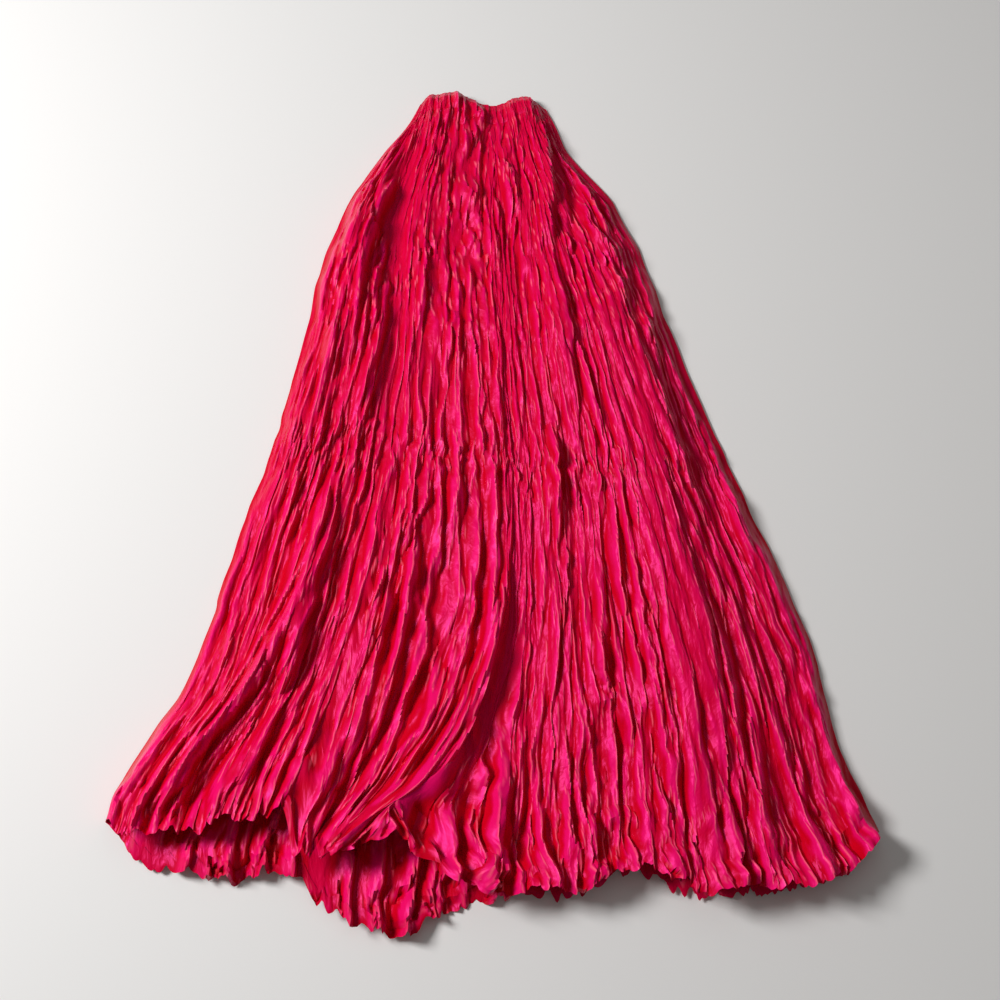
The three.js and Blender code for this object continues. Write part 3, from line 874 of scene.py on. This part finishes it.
def turned_hem(name, x, y, z, down, side, material):
    """The narrow hem turned up on one side of a panel: 1 for its upper side, -1 for the lower."""
    strip = slice(-HEM_ROWS, None)
    lifted = np.array([1] * (HEM_ROWS - 1) + [0])[:, None]  # the last row is the cloth's own edge
    normal = normals(x[-HEM_ROWS - 1:], y[-HEM_ROWS - 1:], z[-HEM_ROWS - 1:])[1:]
    away = side * HEM_RISE * lifted
    moved = [values[strip] + away * normal[..., i] for i, values in enumerate((x, y, z))]
    return sheet_mesh(name, *moved, painted_light_of(moved[0], moved[2]), down[strip], material)


def panel_pieces(side_name, grid, hem_side):
    """The band, the cloth and the turned hem of one side, from its whole grid of points."""
    down, x, y, z = grid
    fine_from = int(np.searchsorted(down, FINE_FROM))
    painted_light = painted_light_of(x, z)
    band_rows = int(np.searchsorted(down, BAND_END - 1e-6))
    band = slice(None, band_rows + 1)
    cloth = slice(band_rows, None)
    return (
        sheet_mesh(side_name + "_band", x[band], y[band], z[band], painted_light[band], down[band], OUTER),
        sheet_mesh(
            side_name + "_cloth", x[cloth], y[cloth], z[cloth], painted_light[cloth], down[cloth], OUTER,
            fine_from - band_rows,
        ),
        turned_hem(side_name + "_hem", x, y, z, down, hem_side, INNER),
    )


band_front, front, hem_front = panel_pieces("front", make_front(*FRONT_GRID), -1)
band_back, back, hem_back = panel_pieces("back", make_back(*BACK_GRID), 1)

for piece, node, slot in (
    (front, "panel_front", "satin"),
    (back, "panel_back", "satin"),
    (band_front, "waistband_front", "satin"),
    (band_back, "waistband_back", "satin"),
    (hem_front, "hem_front", "satin_inside"),
    (hem_back, "hem_back", "satin_inside"),
):
    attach(piece, "root")
    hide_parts(node)

# ---------------------------------------------------------------------------------------------
# Floor, lights and camera

FLOOR_HALF = 6  # in metres, of the floor's side


def make_floor():
    """A plain pale floor."""
    mesh = bpy.data.meshes.new("floor")
    corners = [(-FLOOR_HALF, -FLOOR_HALF, 0), (FLOOR_HALF, -FLOOR_HALF, 0)]
    corners += [(FLOOR_HALF, FLOOR_HALF, 0), (-FLOOR_HALF, FLOOR_HALF, 0)]
    mesh.from_pydata(corners, [], [(0, 1, 2, 3)])
    material = bpy.data.materials.new("pale_floor")
    material.use_nodes = True
    shader = material.node_tree.nodes["Principled BSDF"]
    shader.inputs["Base Color"].default_value = (0.8, 0.79, 0.78, 1)
    shader.inputs["Roughness"].default_value = 0.9
    mesh.materials.append(material)
    floor = bpy.data.objects.new("floor", mesh)
    bpy.context.scene.collection.objects.link(floor)


def area_light(name, azimuth, elevation, distance, size, power):
    """A square lamp aimed at the origin; azimuth is in degrees from +Y towards +X."""
    data = bpy.data.lights.new(name, "AREA")
    data.energy = power
    data.size = size
    lamp = bpy.data.objects.new(name, data)
    a, e = math.radians(azimuth), math.radians(elevation)
    level = distance * math.cos(e)
    lamp.location = (level * math.sin(a), level * math.cos(a), distance * math.sin(e))
    lamp.rotation_euler = (math.radians(90) - e, 0, math.pi - a)
    bpy.context.scene.collection.objects.link(lamp)


make_floor()
area_light("key", azimuth=-80, elevation=43, distance=2.8, size=0.77, power=80)
area_light("fill", azimuth=20, elevation=75, distance=2.6, size=2.5, power=7)

world = bpy.data.worlds.new("studio")
world.use_nodes = True
world.node_tree.nodes["Background"].inputs["Color"].default_value = (1, 0.97, 0.93, 1)
world.node_tree.nodes["Background"].inputs["Strength"].default_value = 0.12
bpy.context.scene.world = world
bpy.context.scene.view_settings.view_transform = "Standard"

CAMERA_ELEVATION = 70
CAMERA_DISTANCE = 1.5
CAMERA_TARGET = (0.0085, -0.0375, 0)
LENS = 47.88
SENSOR = 36
camera_data = bpy.data.cameras.new("camera")
camera_data.lens = LENS
camera_data.sensor_width = SENSOR
camera = bpy.data.objects.new("camera", camera_data)
tilt = math.radians(CAMERA_ELEVATION)
camera.location = (
    CAMERA_TARGET[0],
    CAMERA_TARGET[1] - CAMERA_DISTANCE * math.cos(tilt),
    CAMERA_DISTANCE * math.sin(tilt),
)
camera.rotation_euler = (math.radians(90) - tilt, 0, 0)
bpy.context.scene.collection.objects.link(camera)
bpy.context.scene.camera = camera
